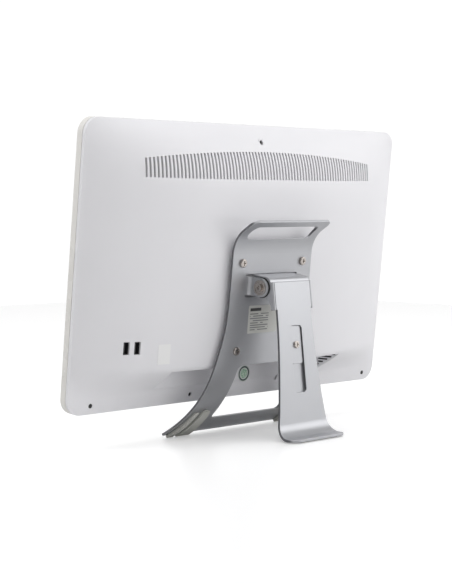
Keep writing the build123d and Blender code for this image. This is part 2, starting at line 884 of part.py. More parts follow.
def make_ports():
    board_top = BOARD_N + BOARD_T
    shell_deep = 17.0
    with BuildPart() as dc_inlet:
        for x, width, height, n in ports_of("dc"):
            with BuildSketch(depth(board_top)):
                with Locations((x, PORT_FACE_V)):
                    port_box(width, shell_deep)
            extrude(amount=height)
            with BuildSketch(facing_down(PORT_FACE_V)):
                with Locations((x, n)):
                    Circle(2.8)
            extrude(amount=-10, mode=Mode.SUBTRACT)
            with BuildSketch(facing_down(PORT_FACE_V + 10.5)):
                with Locations((x, n)):
                    Circle(1.05)
            extrude(amount=9)
    save(dc_inlet, "dc_inlet")

    with BuildPart() as lan_socket:
        for x, width, height, n in ports_of("lan"):
            with BuildSketch(depth(board_top)):
                with Locations((x, PORT_FACE_V)):
                    port_box(width, shell_deep)
            extrude(amount=height)
            with BuildSketch(depth(n - 2.9)):
                with Locations((x, PORT_FACE_V - 1)):
                    port_box(LAN_W, LAN_DEEP + 1)
            extrude(amount=LAN_H, mode=Mode.SUBTRACT)
    save(lan_socket, "lan_socket")

    mouth_w, mouth_h, mouth_deep, tongue_w = 12.6, 5.2, 12.0, 11.0
    with BuildPart() as usb_sockets:
        for x, width, height, n in ports_of("usb"):
            with BuildSketch(depth(board_top)):
                with Locations((x, PORT_FACE_V)):
                    port_box(width, shell_deep)
            extrude(amount=height)
            for centre in (-3.6, 3.6):
                with BuildSketch(depth(n + centre - mouth_h / 2)):
                    with Locations((x, PORT_FACE_V - 1)):
                        port_box(mouth_w, mouth_deep + 1)
                extrude(amount=mouth_h, mode=Mode.SUBTRACT)
                with BuildSketch(depth(n + centre - 1.7)):
                    with Locations((x, PORT_FACE_V + 1)):
                        port_box(tongue_w, mouth_deep)
                extrude(amount=1.8)
    save(usb_sockets, "usb_sockets")

    with BuildPart() as hdmi_socket:
        for x, width, height, n in ports_of("hdmi"):
            with BuildSketch(depth(board_top)):
                with Locations((x, PORT_FACE_V)):
                    port_box(width, 12)
            extrude(amount=height)
            with BuildSketch(depth(n - 2.3)):
                with Locations((x, PORT_FACE_V - 1)):
                    port_box(14, 10)
            extrude(amount=4.6, mode=Mode.SUBTRACT)
            with BuildSketch(depth(n - 0.6)):
                with Locations((x, PORT_FACE_V + 1)):
                    port_box(tongue_w, 9)
            extrude(amount=1.2)
    save(hdmi_socket, "hdmi_socket")

    with BuildPart() as vga_socket:
        for x, width, height, n in ports_of("vga"):
            with BuildSketch(depth(board_top)):
                with Locations((x, PORT_FACE_V)):
                    port_box(width, shell_deep)
            extrude(amount=height)
            with BuildSketch(facing_down(PORT_FACE_V)):
                for row, shift in ((-2.0, 0.0), (0.0, 1.1), (2.0, 0.0)):
                    with Locations((x + shift, row + n)):
                        with GridLocations(2.3, 0, 5, 1):
                            Circle(0.5)
            extrude(amount=-6, mode=Mode.SUBTRACT)
    save(vga_socket, "vga_socket")

    with BuildPart() as audio_jacks:
        for x, width, height, n in ports_of("audio"):
            with BuildSketch(depth(board_top)):
                with Locations((x, PORT_FACE_V)):
                    port_box(width, shell_deep)
            extrude(amount=height)
            with BuildSketch(facing_down(PORT_FACE_V)):
                with Locations((x, n)):
                    Circle(1.8)
            extrude(amount=-14, mode=Mode.SUBTRACT)
    save(audio_jacks, "audio_jacks")


def make_io_shield():
    with BuildPart() as io_shield:
        with BuildSketch(depth(BOARD_N + BOARD_T + 0.2)):
            with Locations((0, RECESS_TOP_V + WALL + 0.5)):
                Rectangle(190, 0.6, align=(Align.CENTER, Align.MIN))
        extrude(amount=17.4)
        for _, x, width, height in PORTS:
            with BuildSketch(depth(port_n(height) - height / 2 - 0.3)):
                with Locations((x, RECESS_TOP_V + WALL + 0.5)):
                    Rectangle(width + 0.5, 6)
            extrude(amount=height + 0.6, mode=Mode.SUBTRACT)
    save(io_shield, "io_shield")


def make_rear_usb():
    low_n = -38.4
    with BuildPart() as rear_usb_sockets:
        for x in SIDE_USB_X:
            high_n = back_n(x, SIDE_USB_V) - 0.9
            with BuildSketch(depth(low_n)):
                with Locations((x, SIDE_USB_V)):
                    Rectangle(SIDE_USB_W, SIDE_USB_H)
            extrude(amount=high_n - low_n)
            with BuildSketch(depth(high_n)):
                with Locations((x, SIDE_USB_V)):
                    Rectangle(SIDE_USB_W - 1.2, SIDE_USB_H - 1.2)
            extrude(amount=-12, mode=Mode.SUBTRACT)
            with BuildSketch(depth(high_n - 12.5)):
                with Locations((x - 1.2, SIDE_USB_V)):
                    Rectangle(1.9, SIDE_USB_H - 3)
            extrude(amount=11)
    save(rear_usb_sockets, "rear_usb_sockets")

    with BuildPart() as rear_usb_board:
        with BuildSketch(depth(low_n - 1.6)):
            with Locations((-190, -36)):
                Rectangle(40, 34)
        extrude(amount=1.6)
        with BuildSketch(depth(CHASSIS_N + SHEET)):
            with Locations((-204, -24), (-176, -24)):
                Circle(3)
        extrude(amount=low_n - 1.6 - CHASSIS_N - SHEET)
    save(rear_usb_board, "rear_usb_board")


# ---------------------------------------------------------------- labels
def make_stickers():
    """Two film stickers on the cover; both are blank or carry a plain ring only."""
    film = 0.2
    sticker_crown = under_crown(film)
    with BuildPart() as blank_sticker:
        with BuildSketch(depth(RIM_N)):
            with Locations((-149, -49)):
                RectangleRounded(16, 22, 1)
        extrude(amount=45)
        add(sticker_crown, mode=Mode.INTERSECT)
        add(OUTER_CROWN, mode=Mode.SUBTRACT)
    save(blank_sticker, "blank_sticker")

    with BuildPart() as round_sticker:
        with BuildSketch(depth(RECESS_FLOOR_N)):
            with Locations((7, -87)):
                Circle(10)
        extrude(amount=film)
    save(round_sticker, "round_sticker")

    with BuildPart() as rating_label:
        with BuildSketch(depth(0)):
            with Locations((-9.5, -15)):
                RectangleRounded(49, 32, 1)
        extrude(amount=film)
    save(rating_label, "rating_label")


# ---------------------------------------------------------------- stand plate
def on_arc(centre, radius, angle):
    """A point on a circle in the side view; angle 0 points to the display's back."""
    return (centre[0] + radius * cos(radians(angle)), centre[1] + radius * sin(radians(angle)))


# The opening under the web, wider at the bottom.
OPENING_CORNERS = ((-43, -67.3), (43, -67.3), (58, -130.7), (-58, -130.7))
HANDLE_CENTRE = (HANDLE_R, HANDLE_V)
ARM_CENTRE = (-ARM_R, ARM_V)


def plate_profile():
    """Side view of the bent sheet: curled handle, flat web and arms swept forward."""
    inner, outer = HANDLE_R, HANDLE_R + PLATE_T
    curl = 180 - HANDLE_TURN
    lip = (sin(radians(HANDLE_TURN)) * HANDLE_LIP, cos(radians(HANDLE_TURN)) * HANDLE_LIP)
    rear_end = on_arc(HANDLE_CENTRE, inner, curl)
    front_end = on_arc(HANDLE_CENTRE, outer, curl)
    rear_lip = (rear_end[0] + lip[0], rear_end[1] + lip[1])
    front_lip = (front_end[0] + lip[0], front_end[1] + lip[1])
    toe = -ARM_TURN
    Line(rear_lip, rear_end)
    CenterArc(HANDLE_CENTRE, inner, curl, HANDLE_TURN)
    Line((0, HANDLE_V), (0, ARM_V))
    CenterArc(ARM_CENTRE, ARM_R, 0, toe)
    Line(on_arc(ARM_CENTRE, ARM_R, toe), on_arc(ARM_CENTRE, ARM_R - PLATE_T, toe))
    CenterArc(ARM_CENTRE, ARM_R - PLATE_T, toe, -toe)
    Line((-PLATE_T, ARM_V), (-PLATE_T, HANDLE_V))
    CenterArc(HANDLE_CENTRE, outer, 180, -HANDLE_TURN)
    Line(front_end, front_lip)
    Line(front_lip, rear_lip)


def plate_outline():
    """Rear view of the sheet: straight sides, then arms that flare to the feet."""
    low_v, high_v = -160, 112
    Line((0, high_v), (PLATE_HALF_W, high_v))
    Line((PLATE_HALF_W, high_v), (PLATE_HALF_W, 30))
    Spline(
        (PLATE_HALF_W, 30), (71, -35), (80.5, -65), (90.3, -98), (101, -126),
        (FOOT_HALF_W, -149), tangents=((0, -1), (0.45, -1)),
    )
    Line((FOOT_HALF_W, -149), (FOOT_HALF_W, low_v))
    Line((FOOT_HALF_W, low_v), (0, low_v))


def make_stand_plate():
    window_half, window_low, window_high, slit = EAR_X, 11.0, 37.0, 2.3
    with BuildPart() as stand_plate:
        with BuildSketch(SIDE):
            with BuildLine():
                plate_profile()
            make_face()
        extrude(amount=FOOT_HALF_W + 5, both=True)
        with BuildSketch(depth(-90)):
            with BuildLine():
                plate_outline()
                mirror(about=Plane.YZ)
            make_face()
        extrude(amount=150, mode=Mode.INTERSECT)
        corners = stand_plate.edges().filter_by(
            lambda e: abs(e.length - PLATE_T) < 0.01
            and DISPLAY.to_local_coords(e.center()).Z > 20
        )
        fillet(corners, 9)
        with BuildSketch(depth(-90)) as opening:
            with BuildLine():
                Polyline(*OPENING_CORNERS, close=True)
            make_face()
            fillet(opening.vertices().group_by(Axis.Y)[-1], 9)
            fillet(opening.vertices().group_by(Axis.Y)[0], 4)
        extrude(amount=100, mode=Mode.SUBTRACT)
        with BuildSketch(depth(-20)):
            with Locations((0, 84.9)):
                RectangleRounded(107, 15.2, 6)
            with GridLocations(VESA, VESA, 2, 2):
                Circle(2.25)
        extrude(amount=80, mode=Mode.SUBTRACT)
        with BuildSketch(depth(-10)):
            with Locations((0, (window_low + window_high) / 2)):
                Rectangle(2 * window_half, window_high - window_low)
                with Locations((0, (window_high - window_low - slit) / 2),
                               (0, -(window_high - window_low - slit) / 2)):
                    SlotOverall(2 * (window_half + 6), slit)
        extrude(amount=20, mode=Mode.SUBTRACT)
        for face_x in (-EAR_X, EAR_X - EAR_T):
            with BuildSketch(SIDE.offset(face_x)):
                with Locations((HINGE_N, HINGE_V)):
                    Circle(EAR_R)
                with Locations((-PLATE_T, HINGE_V)):
                    Rectangle(HINGE_N + PLATE_T, 2 * EAR_R, align=(Align.MIN, Align.CENTER))
            extrude(amount=EAR_T)
        ear_roots = stand_plate.edges().filter_by(
            lambda e: abs(e.length - 2 * EAR_R) < 0.3
            and abs(abs(e.center().X) - EAR_X) < 0.01
            and abs(DISPLAY.to_local_coords(e.center()).Z) < 0.01
        )
        fillet(ear_roots, 4.5)
        with BuildSketch(SIDE.offset(-EAR_X - 1)):
            with Locations((HINGE_N, HINGE_V)):
                Circle(PIVOT_R + 0.02)
        extrude(amount=2 * EAR_X + 2, mode=Mode.SUBTRACT)
    save(stand_plate, "stand_plate")


def make_stand_screws():
    head_r, head_h = 4.9, 2.6
    with BuildPart() as stand_screws:
        with BuildSketch(depth(0)):
            with GridLocations(VESA, VESA, 2, 2):
                Circle(head_r)
        extrude(amount=head_h)
        top_rims = stand_screws.edges().filter_by(
            lambda e: DISPLAY.to_local_coords(e.center()).Z > head_h - 0.1
        )
        fillet(top_rims, 1.1)
        with BuildSketch(depth(0)):
            with GridLocations(VESA, VESA, 2, 2):
                Circle(1.95)
        extrude(amount=-12)
        with BuildSketch(depth(head_h)):
            with GridLocations(VESA, VESA, 2, 2):
                cross(5.2, 1.2)
        extrude(amount=-1.5, mode=Mode.SUBTRACT)
    save(stand_screws, "stand_screws")


def make_front_pads():
    """Rubber strips under the swept arms: a broad one and a narrow one on each side."""
    with BuildPart() as front_pads:
        with BuildSketch(SIDE):
            with BuildLine():
                CenterArc(ARM_CENTRE, ARM_R, -20, 20 - ARM_TURN)
                Line(on_arc(ARM_CENTRE, ARM_R, -ARM_TURN),
                     on_arc(ARM_CENTRE, ARM_R + PAD_T, -ARM_TURN))
                CenterArc(ARM_CENTRE, ARM_R + PAD_T, -ARM_TURN, ARM_TURN - 20)
                Line(on_arc(ARM_CENTRE, ARM_R + PAD_T, -20), on_arc(ARM_CENTRE, ARM_R, -20))
            make_face()
        extrude(amount=FOOT_HALF_W + 5, both=True)
        with BuildSketch(depth(-90)):
            for side in (-1, 1):
                with BuildLine():
                    Polyline(
                        (side * 69.2, -124), (side * 73, -160), (side * 97, -160),
                        (side * 81.2, -124), close=True,
                    )
                make_face()
                with Locations((side * 75.2, -124)):
                    Circle(6)
                with BuildLine():
                    Polyline(
                        (side * 86.5, -120), (side * 101.5, -160), (side * 107.5, -160),
                        (side * 107.5, -151), (side * 91.5, -120), close=True,
                    )
                make_face()
        extrude(amount=100, mode=Mode.INTERSECT)
        split(bisect_by=Plane.XY, keep=Keep.TOP)
    save(front_pads, "front_foot_pads")


# ---------------------------------------------------------------- hinge and leg
BRACKET_T = 2.5
CHEEK_X = 32.7                   # outer face of each cheek of the hinge bracket
NUT_T = 3.6
NUT_X = CHEEK_X - BRACKET_T - NUT_T


def make_hinge_hardware():
    with BuildPart() as washers:
        for side in (-1, 1):
            with BuildSketch(SIDE.offset(side * CHEEK_X)):
                with Locations((HINGE_N, HINGE_V)):
                    Circle(11.6)
                    Circle(PIVOT_R + 0.02, mode=Mode.SUBTRACT)
            extrude(amount=side * (EAR_X - EAR_T - CHEEK_X))
    save(washers, "hinge_washers")

    with BuildPart() as discs:
        for side in (-1, 1):
            with BuildSketch(SIDE.offset(side * EAR_X)):
                with Locations((HINGE_N, HINGE_V)):
                    Circle(8.6)
            extrude(amount=side * 1.3)
            with BuildSketch(SIDE.offset(side * (EAR_X + 1.3))):
                with Locations((HINGE_N, HINGE_V)):
                    Circle(6.6)
            extrude(amount=-side * 0.6, mode=Mode.SUBTRACT)
        with BuildSketch(SIDE.offset(-60)):
            with Locations((HINGE_N, HINGE_V)):
                Circle(PIVOT_R + 0.02)
        extrude(amount=120, mode=Mode.SUBTRACT)
    save(discs, "hinge_discs")

    with BuildPart() as pivots:
        for side in (-1, 1):
            with BuildSketch(SIDE.offset(side * (NUT_X - 0.2))):
                with Locations((HINGE_N, HINGE_V)):
                    Circle(PIVOT_R)
            extrude(amount=side * (EAR_X + 0.9 - NUT_X))
            with BuildSketch(SIDE.offset(side * (EAR_X + 0.7))):
                with Locations((HINGE_N, HINGE_V)):
                    Circle(4.4)
            extrude(amount=side * 2.2)
            with BuildSketch(SIDE.offset(side * (EAR_X + 2.9))):
                with Locations((HINGE_N, HINGE_V)):
                    Rectangle(5.0, 1.2)
                    Rectangle(1.2, 5.0)
            extrude(amount=-side * 1.4, mode=Mode.SUBTRACT)
    save(pivots, "hinge_screws")

    with BuildPart() as nuts:
        for side in (-1, 1):
            with BuildSketch(SIDE.offset(side * NUT_X)):
                with Locations((HINGE_N, HINGE_V)):
                    RegularPolygon(5.6, 6)
                    Circle(PIVOT_R + 0.02, mode=Mode.SUBTRACT)
            extrude(amount=side * NUT_T)
    save(nuts, "hinge_nuts")


HOOD_RISE = 13.5
HOOD_END_W = -11.0
WEB_W = LEG_BACK_W - LEG_T - 0.25    # rear face of the hinge bracket's web
CHEEK_LOW = -26.5
CHEEK_TOP = 5.0
CHEEK_REAR_W = LEG_BACK_W - 0.1     # the cheeks stand up beside the leg, flush with it


def make_hinge_bracket():
    """Stamped bracket on the hinge: two cheeks, a hood over the hinge and a long web."""
    low = SLOT_TOP - SLOT_LENGTH - 12
    rise = radians(HOOD_RISE)
    hood_foot = 10.0
    web_half = 24.0
    end_up = hood_foot + (WEB_W - HOOD_END_W) * sin(rise) / cos(rise)
    with BuildPart() as hinge_bracket:
        with BuildSketch(LEG_SIDE) as profile:
            outside = (WEB_W, hood_foot)
            inside = (WEB_W - BRACKET_T, hood_foot - BRACKET_T + 0.6)
            with BuildLine():
                Polyline(
                    (WEB_W, low), outside, (HOOD_END_W, end_up),
                    (HOOD_END_W, end_up - BRACKET_T), inside, (WEB_W - BRACKET_T, low),
                    close=True,
                )
            make_face()
            for place, radius in ((outside, 6.5), (inside, 4)):
                fillet(profile.vertices().sort_by_distance(place)[0], radius)
        extrude(amount=CHEEK_X, both=True)
        with BuildSketch(LEG_REAR.offset(-30)):
            with Locations((-web_half - 20, low - 5), (web_half + 20, low - 5)):
                Rectangle(40, CHEEK_LOW - low + 5, align=(Align.CENTER, Align.MIN))
        extrude(amount=80, mode=Mode.SUBTRACT)
        for side in (-1, 1):
            with BuildSketch(LEG_SIDE.offset(side * CHEEK_X)):
                Circle(10.0)
                with BuildLine():
                    Polyline(
                        (-9.5, 3), (CHEEK_REAR_W, CHEEK_TOP), (CHEEK_REAR_W, CHEEK_LOW),
                        (CHEEK_REAR_W - 4, CHEEK_LOW), (6, -12), (-6, -8), close=True,
                    )
                make_face()
            extrude(amount=-side * BRACKET_T)
        rear_bends = hinge_bracket.edges().filter_by(
            lambda e: abs(abs(e.center().X) - CHEEK_X) < 0.01
            and abs(LEG_REAR.to_local_coords(e.center()).Z - CHEEK_REAR_W) < 0.01
        )
        fillet(rear_bends, 1.6)
        with BuildSketch(LEG_SIDE.offset(-40)):
            Circle(PIVOT_R + RUN_CLEARANCE)
        extrude(amount=80, mode=Mode.SUBTRACT)
        with BuildSketch(LEG_REAR.offset(WEB_W)):
            with Locations((0, SCREW_UP)):
                Circle(2.05)
        extrude(amount=-5, mode=Mode.SUBTRACT)
    save(hinge_bracket, "hinge_bracket")


BLOCK_T = 1.6
SCREW_UP = SLOT_TOP - 0.2 - BLOCK_LENGTH / 2


def make_slide_block():
    with BuildPart() as block:
        with BuildSketch(LEG_REAR.offset(WEB_W)):
            with Locations((0, SCREW_UP)):
                RectangleRounded(SLOT_W - 0.6, BLOCK_LENGTH, 3.5)
        extrude(amount=BLOCK_T)
        with BuildSketch(LEG_REAR.offset(WEB_W)):
            with Locations((0, SCREW_UP)):
                Circle(2.05)
        extrude(amount=6, mode=Mode.SUBTRACT)
    save(block, "leg_slide_block")

    with BuildPart() as screw:
        seat = WEB_W + BLOCK_T
        with BuildSketch(LEG_REAR.offset(seat)):
            with Locations((0, SCREW_UP)):
                Circle(4.2)
        extrude(amount=2.0)
        rim = screw.edges().filter_by(
            lambda e: LEG_REAR.to_local_coords(e.center()).Z > seat + 1.9
        )
        fillet(rim, 0.9)
        with BuildSketch(LEG_REAR.offset(seat)):
            with Locations((0, SCREW_UP)):
                Circle(1.95)
        extrude(amount=-6)
        with BuildSketch(LEG_REAR.offset(seat + 2.0)):
            with Locations((0, SCREW_UP)):
                Rectangle(4.6, 1.1)
                Rectangle(1.1, 4.6)
        extrude(amount=-1.3, mode=Mode.SUBTRACT)
    save(screw, "leg_clamp_screw")


def leg_up_at(w, z):
    """How far up the leg a point is that lies w behind the axis and z above the floor."""
    return (z - HINGE_POINT.Z - w * sin(LEG_ANGLE)) / cos(LEG_ANGLE)


def make_leg():
    """Rear leg: a flat plate that slides on the bracket, and a foot bent to the floor."""
    rear, front = LEG_BACK_W, LEG_BACK_W - LEG_T
    sole, top = LEG_PAD_T, LEG_PAD_T + LEG_T

    def floor_point(y_behind, z):
        drop = z - HINGE_POINT.Z
        return (y_behind * cos(LEG_ANGLE) + drop * sin(LEG_ANGLE),
                -y_behind * sin(LEG_ANGLE) + drop * cos(LEG_ANGLE))

    y_end = MOUNT_Y + FOOT_REACH_Y - HINGE_POINT.Y
    with BuildPart() as leg_plate:
        with BuildSketch(LEG_SIDE) as profile:
            inside_bend = (rear, leg_up_at(rear, top))
            outside_bend = (front, leg_up_at(front, sole))
            with BuildLine():
                Polyline(
                    (front, LEG_TOP), (rear, LEG_TOP), inside_bend,
                    floor_point(y_end, top), floor_point(y_end, sole), outside_bend,
                    close=True,
                )
            make_face()
            for place, radius in ((inside_bend, LEG_BEND_R), (outside_bend, LEG_BEND_R + LEG_T)):
                fillet(profile.vertices().sort_by_distance(place)[0], radius)
        extrude(amount=LEG_FOOT_HALF_W + 5, both=True)
        with BuildSketch(LEG_REAR.offset(-60)):
            with BuildLine():
                leg_outline()
                mirror(about=Plane.YZ)
            make_face()
        extrude(amount=160, mode=Mode.INTERSECT)
        with BuildSketch(Plane.XY):
            with Locations((0, MOUNT_Y + FOOT_REACH_Y)):
                RectangleRounded(2 * LEG_FOOT_HALF_W, 100, HEEL_R, align=(Align.CENTER, Align.MAX))
        extrude(amount=250, mode=Mode.INTERSECT)
        with BuildSketch(LEG_REAR):
            with Locations((0, SLOT_TOP - SLOT_LENGTH / 2)):
                RectangleRounded(SLOT_W, SLOT_LENGTH, 4)
        extrude(amount=40, mode=Mode.SUBTRACT)
    save(leg_plate, "leg_plate")


def leg_outline():
    high, low = 20, -200
    Line((0, high), (LEG_TOP_HALF_W, high))
    Line((LEG_TOP_HALF_W, high), (LEG_TOP_HALF_W, CHEEK_LOW + 2))
    Line((LEG_TOP_HALF_W, CHEEK_LOW + 2), (LEG_HALF_W, CHEEK_LOW))
    Spline(
        (LEG_HALF_W, CHEEK_LOW), (31, -84), (33.9, -112), (37.3, -139), (LEG_FOOT_HALF_W, -174),
        tangents=((0, -1), (0.5, -1)),
    )
    Line((LEG_FOOT_HALF_W, -174), (LEG_FOOT_HALF_W, low))
    Line((LEG_FOOT_HALF_W, low), (0, low))


def make_leg_pad():
    middle_y = MOUNT_Y + FOOT_REACH_Y - LEG_PAD_INSET
    with BuildPart() as leg_pad:
        with BuildSketch(Plane.XY):
            with Locations((0, middle_y)):
                RectangleRounded(66, 8, 3.5)
        extrude(amount=LEG_PAD_T)
    save(leg_pad, "leg_foot_pad")


make_front_bezel()
make_screen()
make_panel_driver_board()
make_speakers()
make_camera()
make_antennas()
make_power_button()
make_back_cover()
make_louvre_gauze()
make_cover_screws()
make_chassis()
make_vesa_posts()
make_motherboard()
make_cooler()
make_blower()
make_drive_and_memory()
make_ribbon()
make_ports()
make_io_shield()
make_rear_usb()
make_stickers()
make_stand_plate()
make_stand_screws()
make_front_pads()
make_hinge_hardware()
make_hinge_bracket()
make_slide_block()
make_leg()
make_leg_pad()
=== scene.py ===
import json
import math

import bpy
from mathutils import Matrix, Vector


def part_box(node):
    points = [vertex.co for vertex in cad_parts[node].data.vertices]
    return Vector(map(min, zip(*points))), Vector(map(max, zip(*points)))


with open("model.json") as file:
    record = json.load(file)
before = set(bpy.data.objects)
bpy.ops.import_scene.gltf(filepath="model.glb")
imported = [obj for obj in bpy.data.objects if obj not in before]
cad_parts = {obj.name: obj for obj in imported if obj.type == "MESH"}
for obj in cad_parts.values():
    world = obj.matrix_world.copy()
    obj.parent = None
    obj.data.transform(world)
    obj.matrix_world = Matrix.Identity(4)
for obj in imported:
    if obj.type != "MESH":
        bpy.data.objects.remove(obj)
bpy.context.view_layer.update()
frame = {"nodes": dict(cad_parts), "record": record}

MM = 0.001
scene = bpy.context.scene
scene.view_settings.view_transform = "Standard"

# ---------------------------------------------------------------- the display's own frame
RECORD = frame["record"]
MOUNTS = {mount["name"]: mount for mount in RECORD["mounts"]}
BACKWARDS = Vector(MOUNTS["vesa_100"]["axis"]).normalized()
RIGHT = Vector((-1, 0, 0))                       # to the right as seen from behind
UPWARDS = BACKWARDS.cross(RIGHT)
PLATE_T = 3.0                                    # the mounting pattern is on the plate's inner face
CENTRE = Vector(MOUNTS["vesa_100"]["pos_m"]) + BACKWARDS * PLATE_T * MM


# ---------------------------------------------------------------- node material helpers
MIX_A, MIX_B, MIX_RESULT = 6, 7, 2               # the colour sockets of a Mix node
NOISE_LOW, NOISE_HIGH = 0.3, 0.7                 # most of a noise's values lie between these


def new_material(name):
    material = bpy.data.materials.new(name)
    material.use_nodes = True
    shader = material.node_tree.nodes["Principled BSDF"]
    return material, material.node_tree, shader


def add(tree, kind, **values):
    """Adds a node and sets its sockets and properties by name."""
    node = tree.nodes.new(kind)
    for key, value in values.items():
        if key in node.inputs:
            node.inputs[key].default_value = value
        else:
            setattr(node, key, value)
    return node


def object_coords(tree):
    return add(tree, "ShaderNodeTexCoord").outputs["Object"]


def noise(tree, coords, scale, detail=3.0, rough=0.5):
    node = add(tree, "ShaderNodeTexNoise", Scale=scale, Detail=detail, Roughness=rough)
    tree.links.new(coords, node.inputs["Vector"])
    return node.outputs["Fac"]


def ramp(tree, value, low, high, a, b):
    """Maps value from low..high to a..b."""
    node = add(tree, "ShaderNodeMapRange")
    node.inputs["From Min"].default_value = low
    node.inputs["From Max"].default_value = high
    node.inputs["To Min"].default_value = a
    node.inputs["To Max"].default_value = b
    tree.links.new(value, node.inputs["Value"])
    return node.outputs["Result"]


def spread(tree, value, a, b):
    """Maps a noise's usual range to a..b."""
    return ramp(tree, value, NOISE_LOW, NOISE_HIGH, a, b)


def soft_step(tree, value, low, high):
    return ramp(tree, value, low, high, 0, 1)


def math_node(tree, operation, a, b):
    node = add(tree, "ShaderNodeMath", operation=operation)
    for socket, value in zip(node.inputs, (a, b)):
        if isinstance(value, (int, float)):
            socket.default_value = value
        else:
            tree.links.new(value, socket)
    return node.outputs["Value"]


def product(tree, a, b):
    return math_node(tree, "MULTIPLY", a, b)


def band(tree, value, low, high, edge=0.12):
    """1 between low and high, with a soft edge."""
    rise = soft_step(tree, value, low - edge, low + edge)
    fall = soft_step(tree, value, high + edge, high - edge)
    return product(tree, rise, fall)


def panel(tree, across, along, x_range, v_range, edge=0.12):
    """1 inside a rectangle on the display's own axes."""
    return product(tree, band(tree, across, *x_range, edge), band(tree, along, *v_range, edge))


def mix_colour(tree, factor, a, b):
    node = add(tree, "ShaderNodeMix", data_type="RGBA")
    node.inputs[MIX_A].default_value = (*a, 1)
    node.inputs[MIX_B].default_value = (*b, 1)
    tree.links.new(factor, node.inputs[0])
    return node.outputs[MIX_RESULT]


def layer(tree, below, colour, mask):
    """Paints colour over what is below, where mask is 1."""
    node = add(tree, "ShaderNodeMix", data_type="RGBA")
    tree.links.new(mask, node.inputs[0])
    tree.links.new(below, node.inputs[MIX_A])
    node.inputs[MIX_B].default_value = (*colour, 1)
    return node.outputs[MIX_RESULT]


def bump(tree, height, strength, distance, shader):
    node = add(tree, "ShaderNodeBump", Strength=strength, Distance=distance)
    tree.links.new(height, node.inputs["Height"])
    tree.links.new(node.outputs["Normal"], shader.inputs["Normal"])


def node_centre(name):
    low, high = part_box(name)
    return (Vector(low) + Vector(high)) / 2


def measure(tree, coords, origin, axis):
    """Distance along one display axis from a point, in millimetres."""
    offset = add(tree, "ShaderNodeVectorMath", operation="SUBTRACT")
    tree.links.new(coords, offset.inputs[0])
    offset.inputs[1].default_value = origin
    along = add(tree, "ShaderNodeVectorMath", operation="DOT_PRODUCT")
    tree.links.new(offset.outputs["Vector"], along.inputs[0])
    along.inputs[1].default_value = axis / MM
    return along.outputs["Value"]


def measure_from(tree, coords, name):
    """Distances across and up the display from a node's centre."""
    centre = node_centre(name)
    return measure(tree, coords, centre, RIGHT), measure(tree, coords, centre, UPWARDS)


# ---------------------------------------------------------------- materials
GRAIN_STRENGTH = 0.35
FINE_GRAIN = 0.00002                             # metres
COAT_ROUGHNESS = 0.12


def surface(name, colour, rough, metallic=0.0, mottling=0.03, grain=900.0, grain_depth=FINE_GRAIN,
            patch=12.0, rough_spread=0.06, coat=0.0, spec=0.5):
    """A moulded, painted or metal surface: faint colour mottling, uneven gloss and fine grain."""
    material, tree, shader = new_material(name)
    coords = object_coords(tree)
    broad = noise(tree, coords, patch, 4)
    fine = noise(tree, coords, grain, 2)
    darker = tuple(c * (1 - mottling) for c in colour)
    lighter = tuple(min(1, c * (1 + mottling)) for c in colour)
    tint = mix_colour(tree, spread(tree, broad, 0, 1), darker, lighter)
    tree.links.new(tint, shader.inputs["Base Color"])
    gloss = spread(tree, broad, rough - rough_spread, rough + rough_spread)
    tree.links.new(gloss, shader.inputs["Roughness"])
    shader.inputs["Metallic"].default_value = metallic
    shader.inputs["Coat Weight"].default_value = coat
    shader.inputs["Coat Roughness"].default_value = COAT_ROUGHNESS
    shader.inputs["Specular IOR Level"].default_value = spec
    bump(tree, fine, GRAIN_STRENGTH, grain_depth, shader)
    return material


SILVER = (0.47, 0.475, 0.495)
# painted shade: the dark colour painted on the sheet's sideways-facing edges, standing for their shade
# and dark reflection
EDGE_SHADE_DARK = (0.13, 0.13, 0.14)
SIDEWAYS_FROM, SIDEWAYS_FULL = 0.75, 0.92        # how squarely a face looks sideways to get the painted edge shade


def sheet_metal(name, clear_half_width=0.0):
    """Silver-coated sheet whose sideways-facing sheared edges are painted dark as painted shade and dark
    reflection, except nearer the middle.
    """
    material = surface(name, SILVER, 0.36, metallic=0.75, grain=2400, grain_depth=0.00005)
    tree = material.node_tree
    shader = tree.nodes["Principled BSDF"]
    coords = object_coords(tree)
    facing = add(tree, "ShaderNodeSeparateXYZ")
    tree.links.new(add(tree, "ShaderNodeTexCoord").outputs["Normal"], facing.inputs[0])
    squarely = math_node(tree, "ABSOLUTE", facing.outputs["X"], 0)
    sideways = soft_step(tree, squarely, SIDEWAYS_FROM, SIDEWAYS_FULL)
    across = math_node(tree, "ABSOLUTE", measure(tree, coords, Vector((0, 0, 0)), RIGHT), 0)
    outboard = soft_step(tree, across, clear_half_width - 1, clear_half_width + 1)
    # painted shade and dark reflection on sideways-facing edges outside the clear middle
    shade_mask = product(tree, sideways, outboard)
    coat = shader.inputs["Base Color"].links[0].from_socket
    edge_grain = spread(tree, noise(tree, coords, 1800, 3), 0.75, 1.0)
    edge_shaded = layer(tree, coat, EDGE_SHADE_DARK, product(tree, shade_mask, edge_grain))
    tree.links.new(edge_shaded, shader.inputs["Base Color"])
    return material


DISC_R, DISC_BLUR = 6.0, 0.6
RING_INNER_R, RING_OUTER_R = 6.9, 8.9


